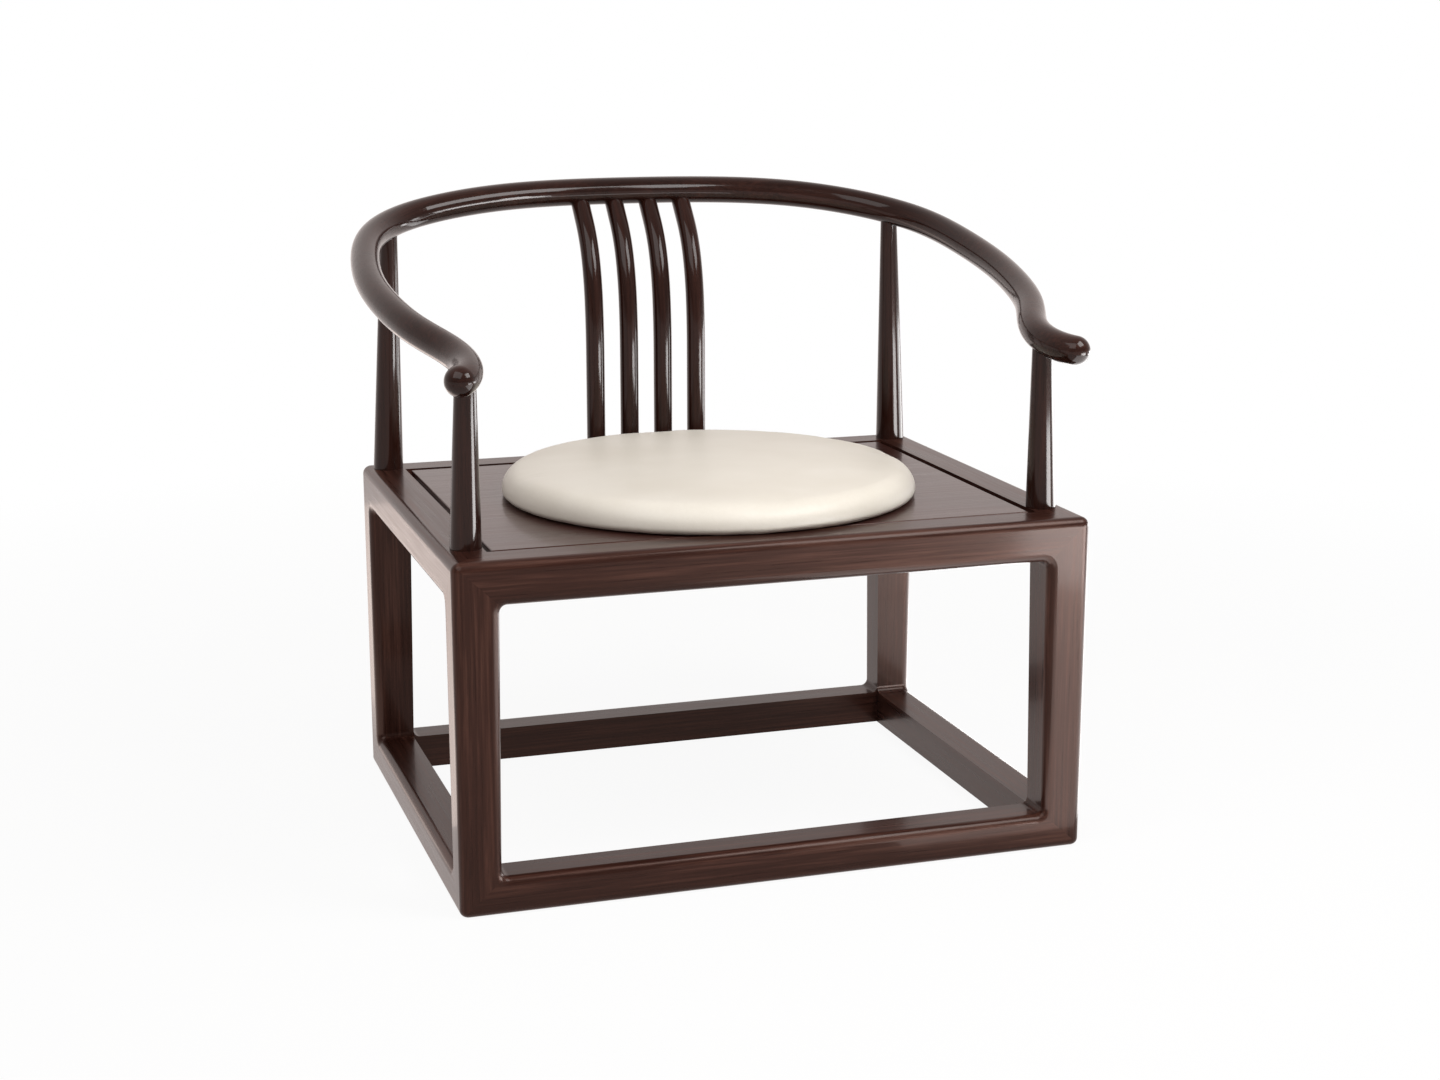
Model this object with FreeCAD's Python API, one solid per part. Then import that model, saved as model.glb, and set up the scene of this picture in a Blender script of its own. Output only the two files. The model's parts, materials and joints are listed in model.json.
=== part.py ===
import FreeCAD, Part
import math
import os

from FreeCAD import Vector

# Horseshoe armchair: a square-legged box frame with a floating seat panel, four round
# posts and four bent spindles under a continuous round arm rail, and a loose round cushion.
# Lengths are in millimetres, angles in degrees. +X points to the right for someone facing
# the chair, +Y to the back, +Z up. Shapes are drawn about the middle of the seat box and
# moved at the end, so that the origin lies on the floor under the middle of the whole chair.

# Seat box over the outside of the legs
seat_width = 720.0
seat_depth = 555.0
seat_height = 385.0

# Legs: square, outer faces flush with the box, inner faces tapering towards the floor
leg_top = 50.0
leg_foot = 46.0

# Rails of the seat frame and of the floor frame
seat_rail_height = 48.0
seat_lip_width = 46.0
floor_rail_height = 41.0

# Roundings of the box frame
edge_round = 10.0
foot_round = 8.0
corner_cove = 8.0

# Mitred corners: two tenons of each leg end, and the tenon between the two rails
tenon_edge = 10.0
tenon_thick = 8.0
tenon_inset = 33.0
tenon_wide = 11.0
tenon_cover = 14.0
mitre_tenon_edge = 33.0
mitre_tenon_wide = 8.0
mitre_tenon_start = 30.0
mitre_tenon_root = 46.0
mitre_tenon_cover = 16.0
mitre_tenon_high = 12.0
tenon_clearance = 0.1
mitre_overrun_share = 0.4

# Floating seat panel with a raised field
panel_sink = 0.6
panel_channel = 6.5
channel_depth = 7.0
tongue_thick = 6.0
tongue_reach = 7.0
groove_depth = 8.0
groove_clearance = 0.3
panel_below = 6.0
panel_play = 1.0
field_round = 1.5

# Dovetailed battens under the panel
batten_offset = 150.0
batten_width = 30.0
batten_height = 20.0
dovetail_high = 6.0
dovetail_neck = 18.0
dovetail_flare = 3.0
stub_length = 10.0
stub_size = 12.0

# Arm rail: round section along a smooth line, placed from the faces of the seat box
rail_radius = 16.7
crest_height = 710.3
crest_overhang = 40.0
rail_side_overhang = 19.0
arm_end_height = 569.4
arm_end_setback = 20.5

# Half of the rail's line from the middle of the crest to the end of the arm, as shares of
# the half span, of the run from back to front, and of the drop from crest to arm end
rail_line_shares = (
    (0.000, 0.000, 0.000),
    (0.277, 0.002, 0.009),
    (0.570, 0.041, 0.056),
    (0.789, 0.095, 0.153),
    (0.921, 0.201, 0.265),
    (0.982, 0.342, 0.406),
    (1.000, 0.483, 0.539),
    (0.984, 0.621, 0.662),
    (0.936, 0.753, 0.783),
    (0.868, 0.875, 0.903),
    (0.868, 0.949, 0.966),
    (0.903, 1.000, 1.000),
)
rail_spans = 20

# The round surface starts along the top of the rail, clear of the bores in its underside
rail_seam_angle = 270.0

# Scarf joints of the rail, each locked by a tapered square wedge driven from below
scarf_length = 56.0
crest_joint = 165.0
arm_joint = 515.0
wedge_size = 8.0
wedge_taper = 1.0
wedge_cover = 5.0
wedge_end_gap = 0.5
bore_past = 1.0

# Posts between the seat frame and the arm rail, placed from the faces of the seat box
front_post_inset = 29.0
front_post_back = 70.5
front_post_base_radius = 17.0
front_post_head_radius = 11.0
rear_post_inset = 28.0
rear_post_front = 30.7
rear_post_base_radius = 18.0
rear_post_head_radius = 9.9
rear_post_lean = 10.0
rear_post_lean_forward = 6.2
post_foot_tenon_radius = 8.0
post_foot_tenon = 28.0
post_head_tenon_radius = 7.0
head_tenon_past_middle = 5.0
head_search_steps = 8

# Bent back spindles
spindle_radius = 11.6
spindle_head_radius = 8.0
spindle_head_taper = 12.0
spindle_spacing = 44.1
spindle_count = 4
spindle_set_back = 26.0
spindle_head_offset = 8.6
spindle_bends = ((560.0, 6.5), (220.0, 13.0), (135.0, 23.5))
spindle_tenon_radius = 5.5
spindle_foot_tenon = 26.0
cope_clearance = 0.1
dowel_clearance = 0.05

# Loose round cushion: a leather cover over a foam core, as wide as the seat's clear depth
cushion_front_margin = 25.5
cushion_rear_gap = 2.5
cushion_height = 38.3
cushion_lower_round = 7.3
cushion_upper_round = 23.6
cover_thick = 2.0
foam_clearance = 0.3
cushion_rest_gap = 0.3

# One overrun serves all cuts, and one tolerance all comparisons of places
overrun = 5.0
touch = 0.001

half_width = seat_width / 2
half_depth = seat_depth / 2
crest_reach = half_depth + crest_overhang
arm_reach = half_depth - arm_end_setback
arm_half_span = half_width + rail_side_overhang
origin_y = (crest_reach + rail_radius - half_depth) / 2
opening_low = floor_rail_height
opening_high = seat_height - seat_rail_height
groove_low = seat_height - channel_depth - tongue_thick
groove_top = groove_low + tongue_thick + groove_clearance
panel_low = groove_low - panel_below
spindle_foot = half_depth - spindle_set_back
cushion_front = cushion_front_margin - half_depth
cushion_radius = (spindle_foot - spindle_radius - cushion_rear_gap - cushion_front) / 2

SIDES = {"left": -1, "right": 1}
ENDS = {"front": -1, "rear": 1}


def prism(points, run):
    """Solid of a closed polygon of points, carried along a run."""
    return Part.Face(Part.makePolygon(list(points) + [points[0]])).extrude(run)


def centred_box(reach_x, reach_y, low, high):
    """Box about the middle of the seat, from its half sizes and its two heights."""
    return Part.makeBox(2 * reach_x, 2 * reach_y, high - low, Vector(-reach_x, -reach_y, low))


def rounded_opening(reach_low, reach_high, along_y):
    """Trapezoid opening between two legs, with coved corners, right through the box."""
    profile = (
        (-reach_low, opening_low),
        (reach_low, opening_low),
        (reach_high, opening_high),
        (-reach_high, opening_high),
    )
    if along_y:
        points = [Vector(u, -half_depth - overrun, v) for u, v in profile]
        run = Vector(0, seat_depth + 2 * overrun, 0)
    else:
        points = [Vector(-half_width - overrun, u, v) for u, v in profile]
        run = Vector(seat_width + 2 * overrun, 0, 0)
    solid = prism(points, run)
    corners = []
    for edge in solid.Edges:
        if edge.tangentAt(edge.FirstParameter).cross(run).Length < touch:
            corners.append(edge)
    return solid.makeFillet(corner_cove, corners)


def box_faces(point):
    """For each axis, whether a point lies on an outer face of the seat box."""
    gaps = (
        abs(point.x) - half_width,
        abs(point.y) - half_depth,
        abs(point.z - seat_height / 2) - seat_height / 2,
    )
    return [abs(gap) < touch for gap in gaps]


def rounded_edges(block):
    """Edges of the box frame that are rounded, apart from the lowest ones."""
    chosen = []
    for edge in block.Edges:
        ends = [sum(box_faces(vertex.Point)) for vertex in edge.Vertexes]
        middle = box_faces(edge.valueAt((edge.FirstParameter + edge.LastParameter) / 2))
        outline = sum(middle) == 2 and edge.BoundBox.ZMax > touch
        opening = sum(middle) == 1 and not middle[2] and max(ends) == 1
        if outline or opening:
            chosen.append(edge)
    return chosen


def foot_edges(block):
    """The outer edges round the underside of the floor frame."""
    chosen = []
    for edge in block.Edges:
        middle = edge.valueAt((edge.FirstParameter + edge.LastParameter) / 2)
        outer = abs(middle.x) > half_width - edge_round or abs(middle.y) > half_depth - edge_round
        if edge.BoundBox.ZMax < touch and outer:
            chosen.append(edge)
    return chosen


def box_frame():
    """Legs and rails as one block with rounded edges, before it is cut at its mitres."""
    block = centred_box(half_width, half_depth, 0, seat_height)
    block = block.cut(rounded_opening(half_width - leg_foot, half_width - leg_top, True))
    block = block.cut(rounded_opening(half_depth - leg_foot, half_depth - leg_top, False))
    below = centred_box(
        half_width - leg_foot, half_depth - leg_foot, -overrun, opening_low + overrun
    )
    above = centred_box(
        half_width - leg_top, half_depth - leg_top, opening_high - overrun, groove_top
    )
    block = block.cut([below, above])
    lip_x = half_width - seat_lip_width
    lip_y = half_depth - seat_lip_width
    block = block.cut(centred_box(lip_x, lip_y, groove_low, seat_height + overrun))
    block = block.cut(centred_box(lip_x + groove_depth, lip_y + groove_depth, groove_low, groove_top))
    block = block.makeFillet(edge_round, rounded_edges(block))
    return block.makeFillet(foot_round, foot_edges(block))


def mitre_point(half, across, height, up):
    """Where a mitre line ends inside the frame: past the inner corner of its two members."""
    past = 1 + mitre_overrun_share
    outer = seat_height if up < 0 else 0
    return half - across * past, outer + up * height * past


def member_outline(half):
    """Corner points of one face of the frame and of its mitre lines, lower pair then upper."""
    low_u, low_v = mitre_point(half, leg_foot, floor_rail_height, 1)
    high_u, high_v = mitre_point(half, leg_top, seat_rail_height, -1)
    return (half, 0), (low_u, low_v), (high_u, high_v), (half, seat_height)


def leg_region(side, end):
    """All that lies below, above and outside the four mitre planes of one leg."""
    across = prism(
        [Vector(side * u, -half_depth, v) for u, v in member_outline(half_width)],
        Vector(0, seat_depth, 0),
    )
    along = prism(
        [Vector(-half_width, end * u, v) for u, v in member_outline(half_depth)],
        Vector(seat_width, 0, 0),
    )
    return across.common(along)


def rail_region(sign, along_x, upper):
    """All that lies between the mitre planes of one rail of the seat or floor frame."""
    if along_x:
        half, other = half_width, half_depth
    else:
        half, other = half_depth, half_width
    outline = member_outline(half)
    pair = outline[2:] if upper else outline[:2]
    face = [pair[0], pair[1], (-pair[1][0], pair[1][1]), (-pair[0][0], pair[0][1])]
    inset = leg_top * (1 + mitre_overrun_share)
    plan = [
        (half, other), (half - inset, other - inset), (inset - half, other - inset), (-half, other)
    ]
    if along_x:
        front = prism([Vector(u, -half_depth, v) for u, v in face], Vector(0, seat_depth, 0))
        top = prism([Vector(u, sign * v, 0) for u, v in plan], Vector(0, 0, seat_height))
    else:
        front = prism([Vector(-half_width, u, v) for u, v in face], Vector(seat_width, 0, 0))
        top = prism([Vector(sign * v, u, 0) for u, v in plan], Vector(0, 0, seat_height))
    return front.common(top)


def corner_span(sign, half, near, far):
    """Lower and upper coordinate of a span given by two distances from an outer face."""
    return sorted((sign * (half - near), sign * (half - far)))


def corner_box(side, end, span_x, span_y, span_z, grow):
    """Box in a corner of the frame, from its distances to the outer faces."""
    x_low, x_high = corner_span(side, half_width, *span_x)
    y_low, y_high = corner_span(end, half_depth, *span_y)
    z_low, z_high = sorted(span_z)
    low = Vector(x_low - grow, y_low - grow, z_low - grow)
    high = Vector(x_high + grow, y_high + grow, z_high + grow)
    size = high.sub(low)
    return Part.makeBox(size.x, size.y, size.z, low)


def leg_tenons(side, end, upper, grow):
    """The two tenons of one leg end, one into each rail that it meets."""
    if upper:
        heights = (seat_height - tenon_cover, opening_high)
    else:
        heights = (tenon_cover, opening_low)
    thick = (tenon_edge, tenon_edge + tenon_thick)
    wide = (tenon_inset, tenon_inset + tenon_wide)
    return {
        "end": corner_box(side, end, wide, thick, heights, grow),
        "side": corner_box(side, end, thick, wide, heights, grow),
    }


def mitre_tenon(side, end, upper, grow):
    """Tenon of a front or rear rail through the mitre into the side rail."""
    near = mitre_tenon_cover
    far = mitre_tenon_cover + mitre_tenon_high
    if upper:
        heights = (seat_height - near, seat_height - far)
    else:
        heights = (near, far)
    along = (mitre_tenon_start, mitre_tenon_root)
    across = (mitre_tenon_edge, mitre_tenon_edge + mitre_tenon_wide)
    return corner_box(side, end, along, across, heights, grow)


def leg(block, side, end):
    """One leg, mitred at both ends, with its four tenons."""
    solid = block.common(leg_region(side, end))
    for upper in (False, True):
        for tenon in leg_tenons(side, end, upper, 0).values():
            solid = solid.fuse(tenon)
    return solid.removeSplitter()


def end_rail(block, end, upper):
    """Front or rear rail, with the tenons of its mitres and the mortises of the legs."""
    solid = block.common(rail_region(end, True, upper))
    for side in SIDES.values():
        solid = solid.fuse(mitre_tenon(side, end, upper, 0))
        solid = solid.cut(leg_tenons(side, end, upper, tenon_clearance)["end"])
    return solid.removeSplitter()


def side_rail(block, side, upper):
    """Left or right rail, with the mortises of its mitres and of the legs."""
    solid = block.common(rail_region(side, False, upper))
    for end in ENDS.values():
        solid = solid.cut(mitre_tenon(side, end, upper, tenon_clearance))
        solid = solid.cut(leg_tenons(side, end, upper, tenon_clearance)["side"])
    return solid.removeSplitter()


def seat_panel():
    """Floating panel: raised field, tongue all round, and the part below the tongue."""
    lip_x = half_width - seat_lip_width
    lip_y = half_depth - seat_lip_width
    field_top = seat_height - panel_sink
    field = centred_box(lip_x - panel_channel, lip_y - panel_channel, groove_low, field_top)
    top_edges = [edge for edge in field.Edges if edge.BoundBox.ZMin > field_top - touch]
    field = field.makeFillet(field_round, top_edges)
    tongue_top = groove_low + tongue_thick
    tongue = centred_box(lip_x + tongue_reach, lip_y + tongue_reach, groove_low, tongue_top)
    below_x = half_width - leg_top - panel_play
    below_y = half_depth - leg_top - panel_play
    below = centred_box(below_x, below_y, panel_low, groove_low)
    solid = field.fuse([tongue, below]).removeSplitter()
    for side in SIDES.values():
        solid = solid.cut(dovetail(side, below_y))
    return solid


def dovetail(side, reach):
    """Dovetail tongue of a batten, as long as twice the reach."""
    neck = dovetail_neck / 2
    head = neck + dovetail_flare
    middle = side * batten_offset
    outline = (
        (middle - neck, panel_low),
        (middle + neck, panel_low),
        (middle + head, panel_low + dovetail_high),
        (middle - head, panel_low + dovetail_high),
    )
    return prism([Vector(x, -reach, z) for x, z in outline], Vector(0, 2 * reach, 0))


def batten_stub(side, end, grow):
    """Stub tenon of a batten into the front or rear seat rail."""
    inner = half_depth - leg_top
    y_low, y_high = sorted((end * inner, end * (inner + stub_length)))
    size = stub_size / 2 + grow
    middle_z = panel_low - batten_height / 2
    corner = Vector(side * batten_offset - size, y_low - grow, middle_z - size)
    return Part.makeBox(2 * size, y_high - y_low + 2 * grow, 2 * size, corner)


def seat_batten(side):
    """Batten under the panel: dovetail along its top and a stub tenon at each end."""
    reach = half_depth - leg_top
    corner = Vector(side * batten_offset - batten_width / 2, -reach, panel_low - batten_height)
    solid = Part.makeBox(batten_width, 2 * reach, batten_height, corner)
    solid = solid.fuse(dovetail(side, reach - panel_play))
    for end in ENDS.values():
        solid = solid.fuse(batten_stub(side, end, 0))
    return solid.removeSplitter()


def rail_points():
    """Points of the arm rail's line, from the left arm's end round to the right one's."""
    run = crest_reach + arm_reach
    drop = crest_height - arm_end_height
    right = []
    for across, along, down in rail_line_shares:
        x = across * arm_half_span
        right.append(Vector(x, crest_reach - along * run, crest_height - down * drop))
    left = [Vector(-point.x, point.y, point.z) for point in reversed(right[1:])]
    return left + right


def rail_curve():
    """The arm rail's line as one smooth curve."""
    curve = Part.BSplineCurve()
    curve.interpolate(rail_points())
    return curve


def rail_parameter(curve, distance):
    """Parameter of the line at a distance along it from the middle of the crest."""
    return curve.parameterAtDistance(curve.length() / 2 + distance, curve.FirstParameter)


def tangent_arc(start, tangent, end):
    """Arc that leaves a point along a tangent and ends at another point."""
    chord = end.sub(start)
    along = Vector(chord).normalize()
    bulge = tangent.sub(along * tangent.dot(along))
    angle = math.atan2(bulge.Length, tangent.dot(along))
    sagitta = chord.Length / 2 * math.tan(angle / 2)
    middle = start.add(chord / 2).add(bulge.normalize() * sagitta)
    return Part.Arc(start, middle, end).toShape()


def two_arcs(start, leave, end, arrive):
    """Two arcs from point to point that join smoothly and follow both tangents."""
    chord = end.sub(start)
    both = chord.dot(leave.add(arrive))
    bend = 2 * (1 - leave.dot(arrive))
    reach = (math.sqrt(both ** 2 + bend * chord.dot(chord)) - both) / bend
    middle = (start.add(end).add(leave.sub(arrive) * reach)) / 2
    second = tangent_arc(end, arrive.negative(), middle)
    return [tangent_arc(start, leave, middle), second.reversed()]


def rail_piece(curve, first, last, radius):
    """Round rail over the spans between two distances from the middle of the crest."""
    span = curve.length() / 2 / rail_spans
    low = max(math.floor(first / span), -rail_spans)
    high = min(math.ceil(last / span), rail_spans)
    places = [rail_parameter(curve, index * span) for index in range(low, high + 1)]
    edges = []
    for start, stop in zip(places, places[1:]):
        edges += two_arcs(
            curve.value(start), curve.tangent(start)[0], curve.value(stop), curve.tangent(stop)[0]
        )
    place = curve.value(places[0])
    run = curve.tangent(places[0])[0]
    section = Part.makeCircle(radius, place, run, rail_seam_angle, rail_seam_angle + 360)
    return Part.Wire(edges).makePipeShell([Part.Wire(section)], True, False)


def joint_place(curve, distance):
    """Place of a scarf joint: X along the rail, Y level across it, Z up."""
    parameter = rail_parameter(curve, distance)
    along = curve.tangent(parameter)[0]
    across = Vector(0, 0, 1).cross(along).normalize()
    place = FreeCAD.Placement()
    place.Base = curve.value(parameter)
    place.Rotation = FreeCAD.Rotation(along, across, along.cross(across), "XZY")
    return place


def scarf_cut(curve, distance, starts):
    """What a rail piece loses at a joint: its lower half where it starts, its upper where it ends."""
    half = scarf_length / 2
    reach = scarf_length
    past = curve.length() / rail_spans
    if starts:
        step_corner = Vector(-half - overrun, -reach, -reach)
        rest_corner = Vector(-half - past, -reach, -reach)
    else:
        step_corner = Vector(-half, -reach, 0)
        rest_corner = Vector(half, -reach, -reach)
    step = Part.makeBox(scarf_length + overrun, 2 * reach, reach, step_corner)
    rest = Part.makeBox(past, 2 * reach, 2 * reach, rest_corner)
    cutter = step.fuse(rest)
    cutter.Placement = joint_place(curve, distance)
    return cutter


def wedge_blank(place, past):
    """Tapered square wedge from below the rail to near its top, or its hole, a little longer."""
    low = -rail_radius - overrun
    high = rail_radius - wedge_cover
    rings = []
    for height, size in ((low, wedge_size), (high + past, wedge_size - wedge_taper)):
        half = size / 2
        corners = [
            Vector(-half, -half, height),
            Vector(half, -half, height),
            Vector(half, half, height),
            Vector(-half, half, height),
        ]
        rings.append(Part.makePolygon(corners + corners[:1]))
    blank = Part.makeLoft(rings, True, True)
    blank.Placement = place
    return blank


def rail_wedge(curve, distance):
    """Wedge of one scarf joint, flush with the round underside of the rail."""
    blank = wedge_blank(joint_place(curve, distance), 0)
    near = rail_piece(curve, distance - scarf_length / 2, distance + scarf_length / 2, rail_radius)
    return blank.common(near)


def mirrored(shape):
    """The same shape on the other side of the chair."""
    return shape.mirror(Vector(0, 0, 0), Vector(1, 0, 0))


def scarfed(solid, curve, distance, starts):
    """A rail piece after its scarf at one joint and the wedge's hole are cut."""
    hole = wedge_blank(joint_place(curve, distance), wedge_end_gap)
    return solid.cut(scarf_cut(curve, distance, starts)).cut(hole)


def crest_rail(curve, bores):
    """Middle piece of the arm rail, from joint to joint, with the spindles' bores."""
    reach = crest_joint + scarf_length / 2
    solid = rail_piece(curve, -reach, reach, rail_radius)
    solid = scarfed(solid, curve, crest_joint, False)
    solid = mirrored(scarfed(mirrored(solid), curve, crest_joint, False))
    return solid.cut(bores)


def bend_rail(curve, bores):
    """Right corner piece of the arm rail, with the bore of the rear post."""
    first = crest_joint - scarf_length / 2
    last = arm_joint + scarf_length / 2
    solid = rail_piece(curve, first, last, rail_radius)
    solid = scarfed(solid, curve, crest_joint, True)
    solid = scarfed(solid, curve, arm_joint, False)
    return solid.cut(bores)


def arm_rail(curve, bores):
    """Right front piece of the arm rail, with its domed end and the front post's bore."""
    first = arm_joint - scarf_length / 2
    solid = rail_piece(curve, first, curve.length() / 2, rail_radius)
    end = curve.LastParameter
    dome = Part.makeSphere(rail_radius, curve.value(end), curve.tangent(end)[0], 0, 90, 360)
    return scarfed(solid, curve, arm_joint, True).fuse(dome).cut(bores)


def rail_above(curve, x, y):
    """The point of the rail's line over a place on the seat, and its distance from the crest."""
    place = Vector(x, y, crest_height)
    for _ in range(head_search_steps):
        parameter = curve.parameter(place)
        place.z = curve.value(parameter).z
    distance = curve.length(curve.FirstParameter, parameter) - curve.length() / 2
    return curve.value(parameter), distance


def cylinder_between(start, stop, radius):
    """Cylinder from one point to another."""
    run = stop.sub(start)
    return Part.makeCylinder(radius, run.Length, start, run)


class Post:
    """Round tapered post from the seat frame to the arm rail, on the right side."""

    def __init__(self, curve, base, head_x, head_y, base_radius, head_radius):
        self.curve = curve
        self.base = base
        self.head, self.distance = rail_above(curve, head_x, head_y)
        self.run = self.head.sub(base).normalize()
        self.radii = (base_radius, head_radius)

    def tenons(self, grow, past):
        """Foot and head tenons, or their bores, wider by grow and longer by past."""
        foot_end = self.base.sub(self.run * (post_foot_tenon + past))
        foot_start = self.base.add(self.run * overrun)
        foot = cylinder_between(foot_end, foot_start, post_foot_tenon_radius + grow)
        head_start = self.head.sub(self.run * (rail_radius + overrun))
        head_end = self.head.add(self.run * (head_tenon_past_middle + past))
        head = cylinder_between(head_start, head_end, post_head_tenon_radius + grow)
        return foot, head

    def solid(self):
        """The post: a cone flat on the seat frame and coped to the rail, with its tenons."""
        height = self.head.sub(self.base).Length
        slope = (self.radii[0] - self.radii[1]) / height
        low_radius = self.radii[0] + slope * overrun
        start = self.base.sub(self.run * overrun)
        cone = Part.makeCone(low_radius, self.radii[1], height + overrun, start, self.run)
        cone = cone.cut(centred_box(half_width, half_depth, 0, seat_height))
        reach = 2 * self.radii[0]
        near = rail_piece(
            self.curve, self.distance - reach, self.distance + reach, rail_radius + cope_clearance
        )
        cone = cone.cut(near)
        return cone.fuse(list(self.tenons(0, 0))).removeSplitter()


def front_post(curve):
    """Right front post."""
    base = Vector(half_width - front_post_inset, front_post_back - half_depth, seat_height)
    return Post(curve, base, base.x, base.y, front_post_base_radius, front_post_head_radius)


def rear_post(curve):
    """Right rear post, standing on the corner of the seat frame and leaning inwards."""
    base = Vector(half_width - rear_post_inset, half_depth - rear_post_front, seat_height)
    head_x = base.x - rear_post_lean
    head_y = base.y - rear_post_lean_forward
    return Post(curve, base, head_x, head_y, rear_post_base_radius, rear_post_head_radius)


def bend_arcs():
    """Three points of each bend of a spindle, from the foot of its lowest bend, and the last lean."""
    arcs = []
    place = Vector(0, 0, 0)
    lean = 0
    for radius, turn in spindle_bends:
        start = math.radians(lean)
        points = [place]
        for share in (1 / 2, 1):
            angle = math.radians(lean + turn * share)
            back = radius * (math.cos(start) - math.cos(angle))
            rise = radius * (math.sin(angle) - math.sin(start))
            points.append(place.add(Vector(0, back, rise)))
        arcs.append(points)
        lean += turn
        place = points[-1]
    return arcs, math.radians(lean)


def spindle_line():
    """Edges of a spindle's line in its own plane, and the place and direction of its upper end.

    It stands upright on the seat frame as far as its lowest bend. That bend starts at the
    height from which the bends and the last straight run reach the crest rail.
    """
    arcs, lean = bend_arcs()
    top = arcs[-1][-1]
    run = Vector(0, math.sin(lean), math.cos(lean))
    aside = Vector(0, run.z, -run.y)
    head = Vector(0, crest_reach, crest_height).add(aside * spindle_head_offset)
    straight = (head.y - spindle_foot - top.y) / run.y
    bend_end = head.sub(run * straight)
    bend_start = bend_end.sub(top)
    foot = Vector(0, spindle_foot, seat_height - overrun)
    edges = [Part.LineSegment(foot, bend_start).toShape()]
    for points in arcs:
        edges.append(Part.Arc(*[point.add(bend_start) for point in points]).toShape())
    edges.append(Part.LineSegment(bend_end, head.sub(run * spindle_head_taper)).toShape())
    return edges, head, run


def spindle_tenons(head, run, grow, past):
    """Foot and head tenons of a spindle, or their bores."""
    foot_low = Vector(0, spindle_foot, seat_height - spindle_foot_tenon - past)
    foot_high = Vector(0, spindle_foot, seat_height + overrun)
    head_start = head.sub(run * (rail_radius + overrun))
    head_end = head.add(run * (head_tenon_past_middle + past))
    radius = spindle_tenon_radius + grow
    foot = cylinder_between(foot_low, foot_high, radius)
    return foot, cylinder_between(head_start, head_end, radius)


def spindle_places():
    """X of each spindle, from left to right."""
    first = -(spindle_count - 1) / 2
    return [(first + index) * spindle_spacing for index in range(spindle_count)]


def back_spindle(curve, x):
    """One bent spindle, flat on the rear rail, its tapered head coped to the crest rail."""
    edges, head, run = spindle_line()
    section = Part.makeCircle(spindle_radius, edges[0].Vertexes[0].Point, Vector(0, 0, 1))
    solid = Part.Wire(edges).makePipeShell([Part.Wire(section)], True, False)
    taper_start = head.sub(run * spindle_head_taper)
    taper = Part.makeCone(spindle_radius, spindle_head_radius, spindle_head_taper, taper_start, run)
    solid = solid.fuse(taper)
    solid.translate(Vector(x, 0, 0))
    solid = solid.cut(centred_box(half_width, half_depth, 0, seat_height))
    near = rail_piece(curve, x - scarf_length, x + scarf_length, rail_radius + cope_clearance)
    solid = solid.cut(near)
    tenons = spindle_tenons(head, run, 0, 0)
    return solid.fuse([tenon.translated(Vector(x, 0, 0)) for tenon in tenons]).removeSplitter()


def cushion_outline(inset):
    """Half outline of the cushion, drawn in by an inset: base, rounded side and crown."""
    radius = cushion_radius - inset
    low = cushion_lower_round - inset
    upper = cushion_upper_round - inset
    belly = cushion_lower_round
    top = cushion_height - inset
    across = radius - upper
    rise = top - belly
    crown = (across ** 2 + rise ** 2 - upper ** 2) / (2 * (rise - upper))
    crown_middle = top - crown
    slope = math.atan2(across, belly - crown_middle)
    meet = Vector(crown * math.sin(slope), 0, crown_middle + crown * math.cos(slope))
    half_slope = slope / 2
    crown_point = Vector(crown * math.sin(half_slope), 0, crown_middle + crown * math.cos(half_slope))
    side = (math.pi / 2 - slope) / 2
    upper_point = Vector(across + upper * math.cos(side), 0, belly + upper * math.sin(side))
    diagonal = math.radians(45)
    lower_point = Vector(radius - low + low * math.cos(diagonal), 0, belly - low * math.sin(diagonal))
    base_start = Vector(0, 0, inset)
    base_end = Vector(radius - low, 0, belly - low)
    equator = Vector(radius, 0, belly)
    summit = Vector(0, 0, top)
    edges = [
        Part.LineSegment(base_start, base_end),
        Part.Arc(base_end, lower_point, equator),
        Part.Arc(equator, upper_point, meet),
        Part.Arc(meet, crown_point, summit),
        Part.LineSegment(summit, base_start),
    ]
    return Part.Face(Part.Wire([edge.toShape() for edge in edges]))


def cushion_solid(inset):
    """Round cushion, crowned on top and rounded at its side, at its place on the seat."""
    solid = cushion_outline(inset).revolve(Vector(0, 0, 0), Vector(0, 0, 1), 360)
    solid.translate(Vector(0, cushion_front + cushion_radius, seat_height + cushion_rest_gap))
    return solid


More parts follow.
